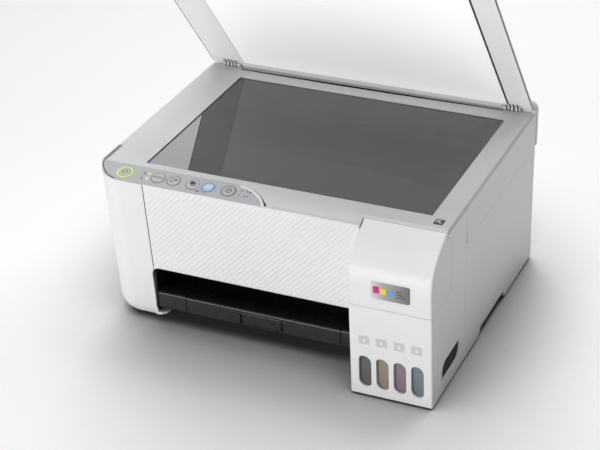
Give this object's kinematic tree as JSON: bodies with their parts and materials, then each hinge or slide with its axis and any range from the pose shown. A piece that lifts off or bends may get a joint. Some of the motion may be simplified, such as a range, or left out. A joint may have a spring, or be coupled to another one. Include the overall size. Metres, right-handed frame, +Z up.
{
  "type": "inkjet printer",
  "caption": "Free-standing inkjet printer with refillable ink tanks, flatbed scanner under a hinged lid, front output tray and rear paper feed.",
  "frame": {"origin": "on the surface the feet stand on, below the middle of the footprint", "axes": "+Z up, +Y to the back, +X to the right seen from the front; the lid is stored open"},
  "size_m": [0.375, 0.347, 0.387],
  "materials": {
    "case_white": "white moulded plastic, fine texture",
    "strip_grey": "light grey moulded plastic",
    "button_white": "satin white plastic",
    "button_blue": "blue plastic",
    "lens": "translucent plastic",
    "lid_pad": "white foam-backed sheet",
    "glass": "clear float glass",
    "dark_plastic": "black moulded plastic",
    "grey_plastic": "dark grey moulded plastic",
    "rubber": "rubber",
    "steel": "bright zinc-plated steel",
    "motor": "steel can",
    "board": "circuit board",
    "ink_black": "translucent tank full of black ink",
    "ink_yellow": "translucent tank, yellow ink",
    "ink_magenta": "translucent tank, magenta ink",
    "ink_cyan": "translucent tank, cyan ink",
    "cap_black": "elastomer cap",
    "cap_yellow": "elastomer cap",
    "cap_magenta": "elastomer cap",
    "cap_cyan": "elastomer cap"
  },
  "bodies": {
    "case": {"base_pan": "dark_plastic", "rubber_feet": "rubber", "left_cover": "case_white", "right_cover": "case_white", "rear_cover": "case_white", "feeder_housing": "case_white", "front_panel": "case_white", "control_panel": "strip_grey", "status_lights": "lens", "tank_housing": "case_white", "ink_tank_black": "ink_black", "ink_tank_yellow": "ink_yellow", "ink_tank_magenta": "ink_magenta", "ink_tank_cyan": "ink_cyan", "steel_chassis": "steel", "platen": "dark_plastic", "bay_housing": "dark_plastic", "maintenance_station": "grey_plastic", "main_board": "board", "power_supply": "grey_plastic", "power_inlet": "dark_plastic", "usb_port": "dark_plastic", "carriage_rail": "steel", "carriage_belt": "rubber", "belt_idler": "grey_plastic", "carriage_motor": "motor", "feed_motor": "motor", "hinge_brackets": "steel"},
    "scanner": {"scanner_base": "case_white", "scanner_frame": "case_white", "scanner_glass": "glass", "sensor_rod": "steel"},
    "sensor_bar": {"sensor_bar": "dark_plastic"},
    "lid": {"lid_shell": "case_white", "lid_pad": "lid_pad"},
    "tank_cover": {"tank_cover": "case_white"},
    "output_tray": {"output_tray": "dark_plastic"},
    "tray_extension": {"tray_extension": "dark_plastic"},
    "paper_stopper": {"paper_stopper": "dark_plastic"},
    "hopper": {"hopper_plate": "grey_plastic"},
    "paper_support": {"paper_support": "grey_plastic"},
    "edge_guide_left": {"edge_guide_left": "grey_plastic"},
    "edge_guide_right": {"edge_guide_right": "grey_plastic"},
    "pickup_roller": {"pickup_roller": "rubber"},
    "carriage": {"print_carriage": "dark_plastic"},
    "drive_pulley": {"drive_pulley": "grey_plastic"},
    "feed_roller": {"feed_roller": "steel"},
    "idler_gear": {"idler_gear": "grey_plastic"},
    "exit_roller": {"exit_roller": "dark_plastic"},
    "motor_pinion": {"motor_pinion": "grey_plastic"},
    "power_button": {"power_button": "button_white"},
    "network_button": {"network_button": "button_white"},
    "info_button": {"info_button": "button_white"},
    "copy_mono_button": {"copy_mono_button": "button_white"},
    "copy_color_button": {"copy_color_button": "button_blue"},
    "stop_button": {"stop_button": "button_white"},
    "ink_cap_black": {"ink_cap_black": "cap_black"},
    "ink_cap_yellow": {"ink_cap_yellow": "cap_yellow"},
    "ink_cap_magenta": {"ink_cap_magenta": "cap_magenta"},
    "ink_cap_cyan": {"ink_cap_cyan": "cap_cyan"}
  },
  "joints": [
    {"name": "scanner_lift", "type": "hinge", "parent": "case", "child": "scanner", "pos_m": [0, 0.144, 0.171], "axis": [-1, 0, 0], "range_deg": [0, 20]},
    {"name": "lid_hinge", "type": "hinge", "parent": "scanner", "child": "lid", "pos_m": [0, 0.1413, 0.1816], "axis": [-1, 0, 0], "range_deg": [-51.1, 27]},
    {"name": "sensor_slide", "type": "slide", "parent": "scanner", "child": "sensor_bar", "axis": [1, 0, 0], "range_m": [0, 0.3]},
    {"name": "tank_cover_hinge", "type": "hinge", "parent": "case", "child": "tank_cover", "pos_m": [0.1453, -0.1722, 0.1063], "axis": [1, 0, 0], "range_deg": [0, 85]},
    {"name": "ink_cap_black_hinge", "type": "hinge", "parent": "case", "child": "ink_cap_black", "pos_m": [0.1186, -0.121, 0.1005], "axis": [-1, 0, 0], "range_deg": [0, 90]},
    {"name": "ink_cap_yellow_hinge", "type": "hinge", "parent": "case", "child": "ink_cap_yellow", "pos_m": [0.13655, -0.121, 0.1005], "axis": [-1, 0, 0], "range_deg": [0, 90]},
    {"name": "ink_cap_magenta_hinge", "type": "hinge", "parent": "case", "child": "ink_cap_magenta", "pos_m": [0.1545, -0.121, 0.1005], "axis": [-1, 0, 0], "range_deg": [0, 90]},
    {"name": "ink_cap_cyan_hinge", "type": "hinge", "parent": "case", "child": "ink_cap_cyan", "pos_m": [0.17245, -0.121, 0.1005], "axis": [-1, 0, 0], "range_deg": [0, 90]},
    {"name": "power_press", "type": "slide", "parent": "case", "child": "power_button", "axis": [0, 0.2252, -0.9743], "range_m": [0, 0.0008], "stiffness_N_per_m": 500},
    {"name": "network_press", "type": "slide", "parent": "case", "child": "network_button", "axis": [0, 0.2252, -0.9743], "range_m": [0, 0.0008], "stiffness_N_per_m": 500},
    {"name": "info_press", "type": "slide", "parent": "case", "child": "info_button", "axis": [0, 0.2252, -0.9743], "range_m": [0, 0.0008], "stiffness_N_per_m": 500},
    {"name": "copy_mono_press", "type": "slide", "parent": "case", "child": "copy_mono_button", "axis": [0, 0.2252, -0.9743], "range_m": [0, 0.0008], "stiffness_N_per_m": 500},
    {"name": "copy_color_press", "type": "slide", "parent": "case", "child": "copy_color_button", "axis": [0, 0.2252, -0.9743], "range_m": [0, 0.0008], "stiffness_N_per_m": 500},
    {"name": "stop_press", "type": "slide", "parent": "case", "child": "stop_button", "axis": [0, 0.2252, -0.9743], "range_m": [0, 0.0008], "stiffness_N_per_m": 500},
    {"name": "tray_slide", "type": "slide", "parent": "case", "child": "output_tray", "axis": [0, -1, 0], "range_m": [0, 0.1]},
    {"name": "extension_slide", "type": "slide", "parent": "output_tray", "child": "tray_extension", "axis": [0, -1, 0], "range_m": [0, 0.09]},
    {"name": "stopper_hinge", "type": "hinge", "parent": "tray_extension", "child": "paper_stopper", "pos_m": [-0.012, -0.1228, 0.0352], "axis": [-1, 0, 0], "range_deg": [0, 105]},
    {"name": "support_slide", "type": "slide", "parent": "case", "child": "paper_support", "axis": [0, 0.1392, 0.9903], "range_m": [0, 0.085]},
    {"name": "edge_guide_left_slide", "type": "slide", "parent": "case", "child": "edge_guide_left", "axis": [1, 0, 0], "range_m": [0, 0.058]},
    {"name": "edge_guide_right_slide", "type": "slide", "parent": "case", "child": "edge_guide_right", "axis": [1, 0, 0], "range_m": [-0.058, 0]},
    {"name": "hopper_hinge", "type": "hinge", "parent": "case", "child": "hopper", "pos_m": [0, 0.154, 0.132], "axis": [-1, 0, 0], "range_deg": [0, 5]},
    {"name": "pickup_spin", "type": "hinge", "parent": "case", "child": "pickup_roller", "pos_m": [0, 0.1054, 0.0837], "axis": [1, 0, 0], "continuous": true},
    {"name": "carriage_slide", "type": "slide", "parent": "case", "child": "carriage", "axis": [1, 0, 0], "range_m": [-0.26, 0]},
    {"name": "pulley_spin", "type": "hinge", "parent": "case", "child": "drive_pulley", "pos_m": [0.154, 0.022, 0.1], "axis": [0, 1, 0], "range_deg": [-2000, 20]},
    {"name": "feed_spin", "type": "hinge", "parent": "case", "child": "feed_roller", "pos_m": [0, 0.012, 0.052], "axis": [1, 0, 0], "continuous": true},
    {"name": "idler_spin", "type": "hinge", "parent": "case", "child": "idler_gear", "pos_m": [0, -0.021, 0.052], "axis": [1, 0, 0], "continuous": true},
    {"name": "exit_spin", "type": "hinge", "parent": "case", "child": "exit_roller", "pos_m": [0, -0.054, 0.052], "axis": [1, 0, 0], "continuous": true},
    {"name": "pinion_spin", "type": "hinge", "parent": "case", "child": "motor_pinion", "pos_m": [0, 0.00773, 0.02231], "axis": [1, 0, 0], "continuous": true}
  ],
  "couplings": [
    {"joint": "idler_spin", "follows": "feed_spin", "ratio": -2},
    {"joint": "exit_spin", "follows": "feed_spin", "ratio": 1},
    {"joint": "pinion_spin", "follows": "feed_spin", "ratio": -2.75},
    {"joint": "edge_guide_right_slide", "follows": "edge_guide_left_slide", "ratio": -1},
    {"joint": "pulley_spin", "follows": "carriage_slide", "rad_per_m": 129.87}
  ]
}
